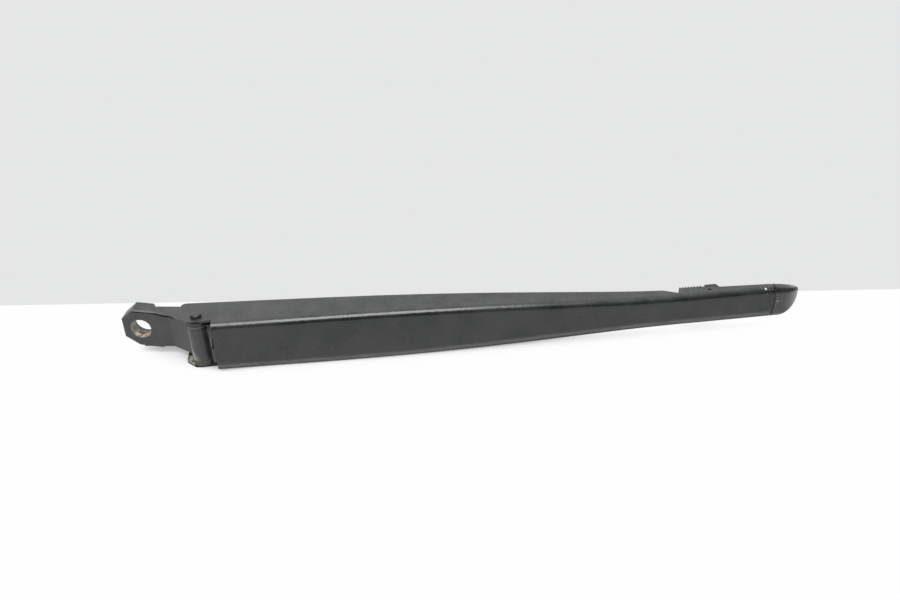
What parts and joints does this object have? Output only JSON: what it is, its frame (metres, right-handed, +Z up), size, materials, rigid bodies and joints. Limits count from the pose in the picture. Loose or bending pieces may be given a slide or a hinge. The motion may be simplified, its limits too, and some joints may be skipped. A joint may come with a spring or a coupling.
{
  "type": "wiper arm",
  "caption": "Rear window wiper arm: a cast spindle head hinged to a tapered, folded steel channel with a tension spring inside, a blade clip and a capped tip.",
  "frame": {"origin": "middle of the spindle bore's parallel wall, on its axis", "axes": "+X along the head towards the arm's tip, +Y in towards the glass, +Z up from the flange the arm lies on"},
  "size_m": [0.339, 0.0521, 0.0285],
  "materials": {
    "black_paint": "satin",
    "black_cast": "satin",
    "spring_steel": "satin",
    "black_plastic": "matte"
  },
  "bodies": {
    "head": {"mounting_head": "black_cast", "hinge_bush_upper": "black_plastic", "hinge_bush_lower": "black_plastic", "spring_pin": "spring_steel"},
    "arm": {"arm_channel": "black_paint", "hinge_pin": "black_paint", "tension_spring": "spring_steel", "spring_anchor": "spring_steel", "blade_pin": "spring_steel", "tip_cap": "black_plastic"},
    "link": {"spring_hook": "spring_steel"},
    "clip": {"blade_clip": "black_plastic"}
  },
  "joints": [
    {"name": "arm_lift", "type": "hinge", "parent": "head", "child": "arm", "pos_m": [0.0326, -0.0103, -0.0009], "axis": [0, 0, -1], "range_deg": [0, 75], "stiffness_Nm_per_rad": 0.35, "springref_deg": -171.89},
    {"name": "spring_pull", "type": "slide", "parent": "arm", "child": "link", "axis": [-0.998, -0.0628, 0], "range_m": [0, 0.01121], "deforming": ["tension_spring"]},
    {"name": "blade_swivel", "type": "hinge", "parent": "arm", "child": "clip", "pos_m": [0.28421, 0.02484, -0.0009], "axis": [0, 0, 1], "range_deg": [-20, 20]}
  ],
  "couplings": [
    {"joint": "spring_pull", "follows": "arm_lift", "m_per_rad": 0.0085571}
  ]
}
